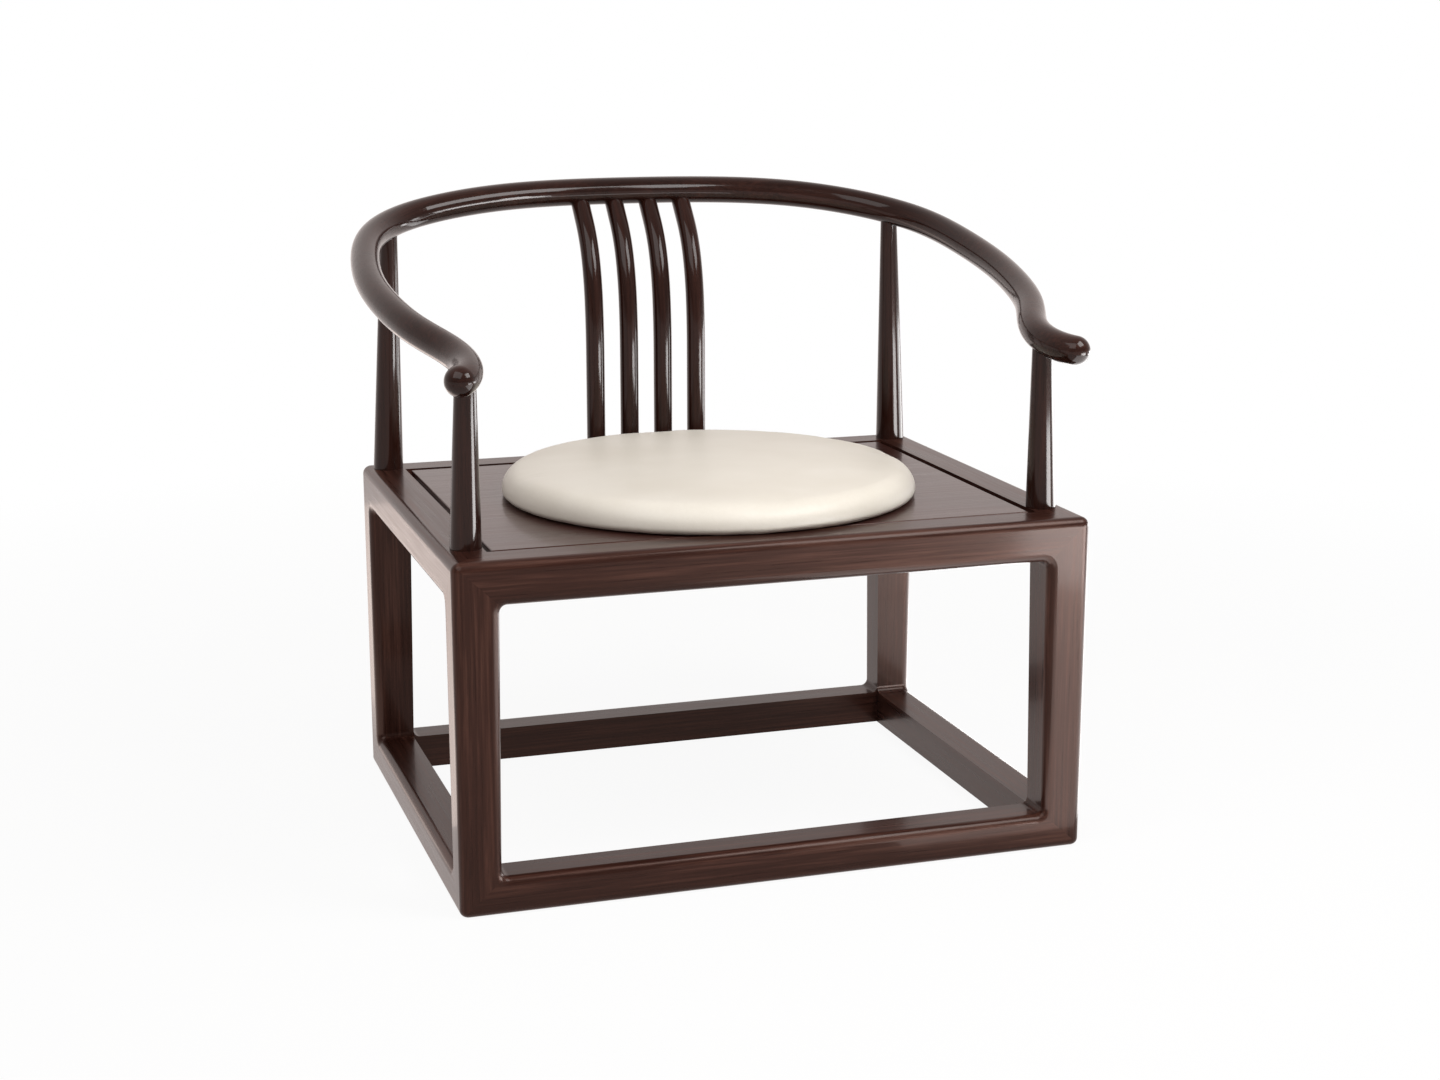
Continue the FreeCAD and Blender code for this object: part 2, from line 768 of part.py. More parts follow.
def build():
    """All sub-parts by name."""
    parts = {}
    block = box_frame()
    for side_name, side in SIDES.items():
        for end_name, end in ENDS.items():
            parts["leg_" + end_name + "_" + side_name] = leg(block, side, end)
    for level, upper in (("seat_rail_", True), ("floor_rail_", False)):
        for end_name, end in ENDS.items():
            parts[level + end_name] = end_rail(block, end, upper)
        for side_name, side in SIDES.items():
            parts[level + side_name] = side_rail(block, side, upper)

    curve = rail_curve()
    posts = {"front": front_post(curve), "rear": rear_post(curve)}
    spindle_head = spindle_line()[1:]
    foot_bores = []
    head_bores = {}
    for name, post in posts.items():
        foot, head = post.tenons(dowel_clearance, bore_past)
        foot_bores += [foot, mirrored(foot)]
        head_bores[name] = head
    crest_bores = []
    for x in spindle_places():
        foot, head = spindle_tenons(spindle_head[0], spindle_head[1], dowel_clearance, bore_past)
        foot_bores.append(foot.translated(Vector(x, 0, 0)))
        crest_bores.append(head.translated(Vector(x, 0, 0)))
    stub_holes = [
        batten_stub(side, end, tenon_clearance) for side in SIDES.values() for end in ENDS.values()
    ]
    for name, solid in parts.items():
        cutters = [cut for cut in foot_bores + stub_holes if cut.BoundBox.intersect(solid.BoundBox)]
        if cutters:
            parts[name] = solid.cut(cutters)

    parts["seat_panel"] = seat_panel()
    for side_name, side in SIDES.items():
        parts["seat_batten_" + side_name] = seat_batten(side)

    parts["crest_rail"] = crest_rail(curve, crest_bores)
    right = {
        "bend_rail": bend_rail(curve, [head_bores["rear"]]),
        "arm_rail": arm_rail(curve, [head_bores["front"]]),
        "crest_wedge": rail_wedge(curve, crest_joint),
        "arm_wedge": rail_wedge(curve, arm_joint),
        "front_post": posts["front"].solid(),
        "rear_post": posts["rear"].solid(),
    }
    for name, solid in right.items():
        parts[name + "_right"] = solid
        parts[name + "_left"] = mirrored(solid)
    for index, x in enumerate(spindle_places()):
        parts["back_spindle_" + str(index + 1)] = back_spindle(curve, x)

    parts["cushion_cover"] = cushion_solid(0).cut(cushion_solid(cover_thick))
    parts["cushion_foam"] = cushion_solid(cover_thick + foam_clearance)
    return parts


def write(parts):
    """Write each sub-part as a STEP file, with the origin under the middle of the chair."""
    os.makedirs("parts", exist_ok=True)
    for name, solid in parts.items():
        solid.translate(Vector(0, -origin_y, 0))
        solid.exportStep(os.path.join("parts", name + ".step"))


write(build())
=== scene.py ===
"""Looks of a horseshoe armchair: its wood and leather finishes, its sewn cushion and the studio.

Lengths are in metres, in the model's own frame: +X to the right of someone who faces the
chair, +Y to its back, +Z up, with the floor at zero.
"""

import json
import logging
import math
from dataclasses import dataclass
from enum import Enum
from typing import Any, Protocol, Union

import bpy
import numpy as np
from mathutils import Matrix, Vector

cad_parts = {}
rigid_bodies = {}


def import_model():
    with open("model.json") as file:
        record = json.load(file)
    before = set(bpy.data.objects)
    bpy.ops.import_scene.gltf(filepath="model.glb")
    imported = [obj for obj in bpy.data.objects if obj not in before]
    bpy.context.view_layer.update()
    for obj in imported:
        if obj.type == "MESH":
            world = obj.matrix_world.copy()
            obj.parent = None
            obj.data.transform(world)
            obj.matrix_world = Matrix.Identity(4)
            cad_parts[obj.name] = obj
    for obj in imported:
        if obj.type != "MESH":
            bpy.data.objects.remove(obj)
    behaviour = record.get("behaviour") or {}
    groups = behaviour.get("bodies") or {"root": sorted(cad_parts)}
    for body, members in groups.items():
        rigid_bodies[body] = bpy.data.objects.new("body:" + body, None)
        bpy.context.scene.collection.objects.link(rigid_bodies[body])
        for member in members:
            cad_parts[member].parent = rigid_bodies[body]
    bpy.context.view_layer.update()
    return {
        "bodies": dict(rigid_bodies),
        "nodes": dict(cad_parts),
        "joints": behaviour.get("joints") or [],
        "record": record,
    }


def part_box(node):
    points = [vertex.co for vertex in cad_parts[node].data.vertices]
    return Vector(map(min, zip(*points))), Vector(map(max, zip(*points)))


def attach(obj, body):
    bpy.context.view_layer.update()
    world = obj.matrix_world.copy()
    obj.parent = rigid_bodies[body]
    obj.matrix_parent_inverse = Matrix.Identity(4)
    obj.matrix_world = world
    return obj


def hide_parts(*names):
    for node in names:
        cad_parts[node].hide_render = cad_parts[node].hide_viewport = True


log = logging.getLogger("armchair")

Socket = bpy.types.NodeSocket
Colour = tuple[float, float, float]
Triple = tuple[float, float, float]
Range = tuple[float, float]
Feed = Union[Socket, float]

NO_SHIFT: Triple = (0.0, 0.0, 0.0)
NO_TURN: Triple = (0.0, 0.0, 0.0)
SAME_SIZE: Triple = (1.0, 1.0, 1.0)
MM_PER_METRE = 1000.0
SHORTEST_MOVE = 1e-9


class Run(Enum):
    """Which way a member's grain runs, as the turn that lays it along the pattern's X axis."""

    WIDTH = (0.0, 0.0, 0.0)
    DEPTH = (0.0, 0.0, -math.pi / 2)
    UPRIGHT = (0.0, math.pi / 2, 0.0)


class Bench:
    """Lays out the nodes of one material or of the studio's surroundings."""

    def __init__(self, tree: bpy.types.NodeTree) -> None:
        """Empties the tree that the nodes go into."""
        self.tree = tree
        tree.nodes.clear()

    def feed(self, socket: Socket, value: Any) -> None:
        """Links a socket to another one, or sets its number or colour."""
        if isinstance(value, bpy.types.NodeSocket):
            self.tree.links.new(value, socket)
        else:
            socket.default_value = value

    def node(self, kind: str, *values: Any, **settings: Any) -> bpy.types.Node:
        """Adds one node.

        Args:
            kind: Blender's name of the node type.
            values: sockets, numbers or colours for its first inputs, in order.
            settings: properties of the node itself, by name.

        Returns:
            The new node.
        """
        made = self.tree.nodes.new(kind)
        for name, value in settings.items():
            setattr(made, name, value)
        for socket, value in zip(made.inputs, values):
            self.feed(socket, value)
        return made

    def maths(self, operation: str, *values: Feed) -> Socket:
        """One step of arithmetic.

        Args:
            operation: Blender's name of the step.
            values: sockets or plain numbers, in order.

        Returns:
            The socket with the result.
        """
        return self.node("ShaderNodeMath", *values, operation=operation).outputs[0]

    def split(self, source: Socket) -> tuple[Socket, Socket, Socket]:
        """The X, Y and Z of a coordinate."""
        return tuple(self.node("ShaderNodeSeparateXYZ", source).outputs)

    def join(self, *values: Feed) -> Socket:
        """A coordinate from its X, Y and Z."""
        return self.node("ShaderNodeCombineXYZ", *values).outputs[0]

    def place(
        self,
        source: Socket,
        shift: Triple = NO_SHIFT,
        turn: Triple = NO_TURN,
        scale: Triple = SAME_SIZE,
    ) -> Socket:
        """Moves, turns and stretches a coordinate.

        Args:
            source: the coordinate.
            shift: what is added last.
            turn: angles about X, Y and Z.
            scale: factors along X, Y and Z, taken first.

        Returns:
            The new coordinate.
        """
        made = self.node("ShaderNodeMapping")
        self.feed(made.inputs["Vector"], source)
        made.inputs["Location"].default_value = shift
        made.inputs["Rotation"].default_value = turn
        made.inputs["Scale"].default_value = scale
        return made.outputs["Vector"]

    def clouds(self, source: Socket, scale: Triple, detail: float, waver: float = 0.0) -> Socket:
        """Soft random pattern between 0 and 1, mostly near one half.

        Args:
            source: the coordinate.
            scale: patches per metre along X, Y and Z.
            detail: how many finer layers are added.
            waver: how far the pattern is pushed about.

        Returns:
            The socket with the pattern.
        """
        made = self.node("ShaderNodeTexNoise")
        self.feed(made.inputs["Vector"], self.place(source, scale=scale))
        made.inputs["Scale"].default_value = 1.0
        made.inputs["Detail"].default_value = detail
        made.inputs["Distortion"].default_value = waver
        return made.outputs[0]

    def spread(self, source: Socket, taken: Range, given: Range) -> Socket:
        """Carries one range of numbers over to another, and holds it there.

        Args:
            source: the numbers.
            taken: the ends of their range.
            given: what those ends become.

        Returns:
            The socket with the new numbers.
        """
        return self.node("ShaderNodeMapRange", source, *taken, *given).outputs[0]

    def tones(self, source: Socket, stops: tuple[tuple[float, Colour], ...]) -> Socket:
        """Colours for a pattern.

        Args:
            source: the pattern.
            stops: each place between 0 and 1 with its colour, in order.

        Returns:
            The socket with the colour.
        """
        made = self.node("ShaderNodeValToRGB", source)
        ramp = made.color_ramp
        while len(ramp.elements) < len(stops):
            ramp.elements.new(1.0)
        for element, (place, colour) in zip(ramp.elements, stops):
            element.position = place
            element.color = (*colour, 1.0)
        return made.outputs[0]

    def dim(self, colour: Socket, factor: Feed) -> Socket:
        """A colour times a number that varies over the surface."""
        made = self.node("ShaderNodeVectorMath", colour, operation="SCALE")
        self.feed(made.inputs["Scale"], factor)
        return made.outputs[0]

    def relief(self, height: Socket, depth: float, strength: float) -> Socket:
        """Fine relief of a surface.

        Args:
            height: pattern of the relief, from 0 to 1.
            depth: height of the relief in metres.
            strength: share of it that shows.

        Returns:
            The socket with the surface's normals.
        """
        made = self.node("ShaderNodeBump")
        made.inputs["Strength"].default_value = strength
        made.inputs["Distance"].default_value = depth
        self.feed(made.inputs["Height"], height)
        return made.outputs[0]

    def shader(self, kind: str, values: dict[str, Any]) -> Socket:
        """One shader.

        Args:
            kind: Blender's name of the node type.
            values: a socket, number or colour for each input that is set, by its name.

        Returns:
            The socket with the shader.
        """
        made = self.node(kind)
        for name, value in values.items():
            self.feed(made.inputs[name], value)
        return made.outputs[0]

    def lead_out(self, kind: str, shader: Socket) -> None:
        """Leads a shader to the output of the tree, a node of the given type."""
        self.feed(self.node(kind).inputs["Surface"], shader)


def new_material(name: str) -> tuple[bpy.types.Material, Bench]:
    """Starts a material.

    Args:
        name: the material's name.

    Returns:
        The empty material and the bench for its nodes.
    """
    made = bpy.data.materials.new(name)
    made.use_nodes = True
    return made, Bench(made.node_tree)


def own_place(bench: Bench) -> Socket:
    """Coordinate of a point of the piece in the chair's frame."""
    return bench.node("ShaderNodeTexCoord").outputs["Object"]


class Grain(Protocol):
    """How grain runs through a member."""

    def coordinate(self, bench: Bench, shift: Triple) -> Socket:
        """A coordinate whose X runs along the grain, moved by a shift."""


@dataclass(frozen=True)
class StraightGrain:
    """Grain that runs straight through a sawn member."""

    run: Run

    def coordinate(self, bench: Bench, shift: Triple) -> Socket:
        """The place on the piece, turned so that X runs along the member."""
        return bench.place(own_place(bench), shift, self.run.value)


@dataclass(frozen=True)
class BowedGrain:
    """Grain that follows a bow: a circle that the member's line lies close to.

    Attributes:
        middle: the circle's middle.
        to_plane: turns the circle's plane level.
        radius: the circle's radius.
    """

    middle: Vector
    to_plane: Matrix
    radius: float

    def coordinate(self, bench: Bench, shift: Triple) -> Socket:
        """Length along the circle, distance from its middle, and height over its plane."""
        middle = self.to_plane @ self.middle
        turn = tuple(self.to_plane.to_euler())
        flat = bench.place(own_place(bench), tuple(-middle), turn)
        across, back, up = bench.split(flat)
        angle = bench.maths("ARCTAN2", back, across)
        along = bench.maths("MULTIPLY", angle, self.radius)
        square = bench.maths("MULTIPLY", across, across)
        both = bench.maths("MULTIPLY_ADD", back, back, square)
        out = bench.maths("SQRT", both)
        return bench.place(bench.join(along, out, up), shift)


@dataclass(frozen=True)
class SweptGrain:
    """Upright grain that bends back with a spindle above a height.

    The line goes back by the cube of the height over the start, times a rate.

    Attributes:
        start: height where the bend starts.
        rate: how fast it bends.
    """

    start: float
    rate: float

    def coordinate(self, bench: Bench, shift: Triple) -> Socket:
        """Height, then the distances to the side of and behind the spindle's line."""
        across, back, up = bench.split(own_place(bench))
        over = bench.maths("SUBTRACT", up, self.start)
        over = bench.maths("MAXIMUM", over, 0.0)
        cube = bench.maths("POWER", over, 3.0)
        behind = bench.maths("MULTIPLY_ADD", cube, -self.rate, back)
        return bench.place(bench.join(up, across, behind), shift)


@dataclass(frozen=True)
class WoodFinish:
    """Dark stained hardwood under a satin lacquer.

    Attributes:
        name: start of the names of its materials.
        deep: colour of the dark figure.
        middle: colour of the wood between.
        light: colour of the light figure.
        bands_per_metre: broad bands along the grain and across it both ways.
        streaks_per_metre: the same for the fine streaks.
        pores_per_metre: the same for the pores.
        band_detail: finer layers in the bands.
        streak_detail: finer layers in the streaks.
        pore_detail: finer layers in the pores.
        band_waver: how far the bands wander.
        band_share: share of the bands in the figure, where the streaks have the rest.
        tone_places: where the three colours lie in the figure.
        pore_range: the part of the pores' pattern in which they fade.
        pore_darkening: factor on the colour inside a pore.
        streak_range: the part of the streaks' pattern in which the gloss changes.
        gloss: roughness at the ends of that range.
        specular: level of the wood's own shine.
        shine_colour: tint of that shine.
        coat: weight of the lacquer.
        coat_index: refractive index of the lacquer.
        coat_roughness: roughness of the lacquer.
        streak_relief: height of the streaks beside that of the pores.
        relief_depth: height of the relief.
        relief_strength: share of the relief that shows.
    """

    name: str
    deep: Colour
    middle: Colour
    light: Colour
    bands_per_metre: Triple = (1.1, 46.0, 46.0)
    streaks_per_metre: Triple = (8.0, 300.0, 300.0)
    pores_per_metre: Triple = (40.0, 1500.0, 1500.0)
    band_detail: float = 2.0
    streak_detail: float = 3.0
    pore_detail: float = 1.0
    band_waver: float = 0.3
    band_share: float = 0.45
    tone_places: Triple = (0.36, 0.5, 0.66)
    pore_range: Range = (0.3, 0.46)
    pore_darkening: float = 0.72
    streak_range: Range = (0.3, 0.7)
    gloss: Range = (0.26, 0.36)
    specular: float = 0.25
    shine_colour: Colour = (1.0, 0.72, 0.62)
    coat: float = 0.6
    coat_index: float = 1.22
    coat_roughness: float = 0.1
    streak_relief: float = 0.5
    relief_depth: float = 0.0003
    relief_strength: float = 0.04

    def material(self, member: str, grain: Grain, shift: Triple) -> bpy.types.Material:
        """Makes the finish for one member.

        Args:
            member: name of the member.
            grain: how its grain runs.
            shift: where its pattern is cut from the endless one.

        Returns:
            The new material.
        """
        made, bench = new_material(f"{self.name}_{member}")
        along = grain.coordinate(bench, shift)
        bands = bench.clouds(along, self.bands_per_metre, self.band_detail, self.band_waver)
        streaks = bench.clouds(along, self.streaks_per_metre, self.streak_detail)
        pores = bench.clouds(along, self.pores_per_metre, self.pore_detail)
        streak_part = bench.maths("MULTIPLY", streaks, 1.0 - self.band_share)
        figure = bench.maths("MULTIPLY_ADD", bands, self.band_share, streak_part)
        shades = (self.deep, self.middle, self.light)
        colour = bench.tones(figure, tuple(zip(self.tone_places, shades)))
        clear = bench.spread(pores, self.pore_range, (self.pore_darkening, 1.0))
        height = bench.maths("MULTIPLY_ADD", streaks, self.streak_relief, clear)
        shader = bench.shader(
            "ShaderNodeBsdfPrincipled",
            {
                "Base Color": bench.dim(colour, clear),
                "Roughness": bench.spread(streaks, self.streak_range, self.gloss),
                "Specular IOR Level": self.specular,
                "Specular Tint": (*self.shine_colour, 1.0),
                "Coat Weight": self.coat,
                "Coat IOR": self.coat_index,
                "Coat Roughness": self.coat_roughness,
                "Normal": bench.relief(height, self.relief_depth, self.relief_strength),
            },
        )
        bench.lead_out("ShaderNodeOutputMaterial", shader)
        return made


@dataclass(frozen=True)
class LeatherFinish:
    """Smooth cream leather with a fine pebbled grain.

    Attributes:
        name: the material's name.
        shade: colour of its darker patches.
        pale: colour of its paler patches.
        pebbles_per_metre: pebbles of the grain.
        creases_per_metre: fine creases between the pebbles.
        patches_per_metre: broad patches of tone.
        crease_detail: finer layers in the creases.
        crease_waver: how far the creases wander.
        patch_detail: finer layers in the patches.
        crease_share: share of the creases in the tone, where the patches have the rest.
        tone_places: where the two colours lie in the tone.
        crease_range: the part of the creases' pattern in which the gloss changes.
        gloss: roughness at the ends of that range.
        specular: level of its shine.
        sheen: weight of its soft sheen.
        sheen_roughness: roughness of that sheen.
        crease_relief: height of the creases beside that of the pebbles.
        relief_depth: height of the relief.
        relief_strength: share of the relief that shows.
    """

    name: str
    shade: Colour
    pale: Colour
    pebbles_per_metre: float = 620.0
    creases_per_metre: float = 210.0
    patches_per_metre: float = 9.0
    crease_detail: float = 3.0
    crease_waver: float = 0.4
    patch_detail: float = 2.0
    crease_share: float = 0.25
    tone_places: Range = (0.35, 0.65)
    crease_range: Range = (0.3, 0.7)
    gloss: Range = (0.38, 0.5)
    specular: float = 0.38
    sheen: float = 0.08
    sheen_roughness: float = 0.4
    crease_relief: float = 0.6
    relief_depth: float = 0.0003
    relief_strength: float = 0.2

    def material(self) -> bpy.types.Material:
        """Makes the finish.

        Returns:
            The new material.
        """
        made, bench = new_material(self.name)
        place = own_place(bench)
        pebbles = bench.node("ShaderNodeTexVoronoi", feature="SMOOTH_F1")
        bench.feed(pebbles.inputs["Vector"], place)
        pebbles.inputs["Scale"].default_value = self.pebbles_per_metre
        crease_scale = (self.creases_per_metre,) * 3
        creases = bench.clouds(place, crease_scale, self.crease_detail, self.crease_waver)
        patches = bench.clouds(place, (self.patches_per_metre,) * 3, self.patch_detail)
        patch_part = bench.maths("MULTIPLY", patches, 1.0 - self.crease_share)
        tone = bench.maths("MULTIPLY_ADD", creases, self.crease_share, patch_part)
        shades = (self.shade, self.pale)
        pebble_height = pebbles.outputs["Distance"]
        height = bench.maths("MULTIPLY_ADD", creases, self.crease_relief, pebble_height)
        shader = bench.shader(
            "ShaderNodeBsdfPrincipled",
            {
                "Base Color": bench.tones(tone, tuple(zip(self.tone_places, shades))),
                "Roughness": bench.spread(creases, self.crease_range, self.gloss),
                "Specular IOR Level": self.specular,
                "Sheen Weight": self.sheen,
                "Sheen Roughness": self.sheen_roughness,
                "Normal": bench.relief(height, self.relief_depth, self.relief_strength),
            },
        )
        bench.lead_out("ShaderNodeOutputMaterial", shader)
        return made


FRAME_WOOD = WoodFinish(
    name="frame_wood",
    deep=(0.024, 0.0079, 0.0053),
    middle=(0.035, 0.0121, 0.0083),
    light=(0.066, 0.0262, 0.0182),
    tone_places=(0.39, 0.5, 0.61),
    specular=0.2,
    coat=0.42,
)
ROUND_WOOD = WoodFinish(
    name="round_wood",
    deep=(0.014, 0.0045, 0.0030),
    middle=(0.021, 0.0067, 0.0044),
    light=(0.033, 0.0108, 0.0072),
    specular=0.04,
    coat=1.0,
    coat_index=1.32,
)
PANEL_WOOD = WoodFinish(
    name="panel_wood",
    deep=(0.029, 0.0085, 0.0062),
    middle=(0.036, 0.0108, 0.0080),
    light=(0.045, 0.0140, 0.0105),
    bands_per_metre=(1.0, 18.0, 18.0),
    coat=0.65,
)
WEDGE_WOOD = WoodFinish(
    name="wedge_wood",
    deep=(0.030, 0.0125, 0.0085),
    middle=(0.050, 0.0210, 0.0140),
    light=(0.075, 0.0330, 0.0220),
)
CUSHION_LEATHER = LeatherFinish(
    name="cushion_leather",
    shade=(0.71, 0.67, 0.585),
    pale=(0.77, 0.735, 0.655),
)


@dataclass
class Yard:
    """Gives each member its own stretch of the wood's endless pattern.

    Attributes:
        nodes: the chair's nodes by name.
        stride: how far apart in the pattern two members are cut.
        cuts: how many members have been cut.
    """

    nodes: dict[str, bpy.types.Object]
    stride: Triple = (0.61, 0.37, 0.29)
    cuts: int = 0

    def dress(self, member: str, finish: WoodFinish, grain: Grain) -> None:
        """Puts a finish on one member.

        Args:
            member: name of its node.
            finish: the wood.
            grain: how the grain runs in it.
        """
        self.cuts += 1
        shift = tuple(length * self.cuts for length in self.stride)
        material = finish.material(member, grain, shift)
        piece = self.nodes[member]
        if not piece.material_slots:
            piece.data.materials.append(material)
        for place in piece.material_slots:
            place.link = "OBJECT"
            place.material = material
        log.info("%s dressed in %s", member, finish.name)


@dataclass
class BoxFrame:
    """Legs and rails of the square frame, mitred so that the grain turns at each corner."""

    sides: tuple[str, str] = ("left", "right")
    ends: tuple[str, str] = ("front", "rear")
    levels: tuple[str, str] = ("seat_rail", "floor_rail")

    def dress(self, yard: Yard) -> None:
        """Dresses the four legs and eight rails."""
        for end in self.ends:
            for side in self.sides:
                yard.dress(f"leg_{end}_{side}", FRAME_WOOD, StraightGrain(Run.UPRIGHT))
        for level in self.levels:
            for end in self.ends:
                yard.dress(f"{level}_{end}", FRAME_WOOD, StraightGrain(Run.WIDTH))
            for side in self.sides:
                yard.dress(f"{level}_{side}", FRAME_WOOD, StraightGrain(Run.DEPTH))


@dataclass
class SeatDeck:
    """The floating seat panel and the battens under it."""

    panel: str = "seat_panel"
    battens: tuple[str, str] = ("seat_batten_left", "seat_batten_right")

    def dress(self, yard: Yard) -> None:
        """Dresses the panel across the chair and the battens from front to back."""
        yard.dress(self.panel, PANEL_WOOD, StraightGrain(Run.WIDTH))
        for batten in self.battens:
            yard.dress(batten, PANEL_WOOD, StraightGrain(Run.DEPTH))


@dataclass
class Uprights:
    """Posts and bent back spindles between the seat frame and the arm rail."""

    posts: tuple[str, ...] = (
        "front_post_left",
        "front_post_right",
        "rear_post_left",
        "rear_post_right",
    )
    spindles: int = 4
    bend_start: float = 0.515
    bend_rate: float = 10.4

    def dress(self, yard: Yard) -> None:
        """Dresses the posts with upright grain and the spindles with grain that bends."""
        for post in self.posts:
            yard.dress(post, ROUND_WOOD, StraightGrain(Run.UPRIGHT))
        for number in range(1, self.spindles + 1):
            grain = SweptGrain(self.bend_start, self.bend_rate)
            yard.dress(f"back_spindle_{number}", ROUND_WOOD, grain)


def points_of(mesh: bpy.types.Mesh) -> np.ndarray:
    """Reads the points of a mesh.

    Args:
        mesh: the mesh.

    Returns:
        One row of x, y and z for each point.
    """
    points = np.empty(len(mesh.vertices) * 3)
    mesh.vertices.foreach_get("co", points)
    return points.reshape(-1, 3)


@dataclass
class ArmRail:
    """The five lengths of the round arm rail and the wedges that lock their joints."""

    crest: str = "crest_rail"
    bowed: tuple[str, ...] = (
        "bend_rail_left",
        "bend_rail_right",
        "arm_rail_left",
        "arm_rail_right",
    )
    wedges: tuple[str, ...] = (
        "crest_wedge_left",
        "crest_wedge_right",
        "arm_wedge_left",
        "arm_wedge_right",
    )

    def bow(self, piece: bpy.types.Object, level: bool) -> BowedGrain:
        """Finds the circle that a curved length lies close to.

        The plane holds the two widest directions of the length's points. The circle in it
        is the one with the least sum of squares of x*x + y*y - 2ax - 2by - c.

        Args:
            piece: the length of rail.
            level: whether its plane is level instead.

        Returns:
            Grain that follows the circle.
        """
        points = points_of(piece.data)
        middle = points.mean(axis=0)
        axes = np.eye(3)
        if not level:
            axes = np.linalg.svd(points - middle, full_matrices=False)[2]
            axes[2] = np.cross(axes[0], axes[1])
        flat = (points - middle) @ axes.T
        sides = np.column_stack((2 * flat[:, :2], np.ones(len(flat))))
        squares = (flat[:, :2] ** 2).sum(axis=1)
        across, back, rest = np.linalg.lstsq(sides, squares, rcond=None)[0]
        radius = math.sqrt(rest + across**2 + back**2)
        outward = -np.array((across, back)) / math.hypot(across, back)
        turn = np.array(((outward[0], outward[1], 0), (-outward[1], outward[0], 0), (0, 0, 1)))
        centre = middle + across * axes[0] + back * axes[1]
        return BowedGrain(Vector(centre), Matrix((turn @ axes).tolist()), radius)

    def dress(self, yard: Yard) -> None:
        """Dresses the lengths with grain that follows them, and the wedges."""
        yard.dress(self.crest, ROUND_WOOD, self.bow(yard.nodes[self.crest], True))
        for name in self.bowed:
            yard.dress(name, ROUND_WOOD, self.bow(yard.nodes[name], False))
        for name in self.wedges:
            yard.dress(name, WEDGE_WOOD, StraightGrain(Run.UPRIGHT))


def make_piece(name: str, points: np.ndarray, quads: np.ndarray) -> bpy.types.Object:
    """Puts worked-out points and faces into a new object at the origin.

    Args:
        name: the piece's name.
        points: one row of x, y and z for each point.
        quads: one row of four point numbers for each face.

    Returns:
        The new object, in the scene, shaded smooth.
    """
    mesh = bpy.data.meshes.new(name)
    mesh.vertices.add(len(points))
    mesh.vertices.foreach_set("co", points.astype(np.float32).ravel())
    mesh.loops.add(quads.size)
    mesh.loops.foreach_set("vertex_index", quads.astype(np.int32).ravel())
    mesh.polygons.add(len(quads))
    mesh.polygons.foreach_set("loop_start", np.arange(0, quads.size, 4, dtype=np.int32))
    mesh.update(calc_edges=True)
    mesh.validate()
    mesh.shade_smooth()
    piece = bpy.data.objects.new(name, mesh)
    bpy.context.scene.collection.objects.link(piece)
    return piece


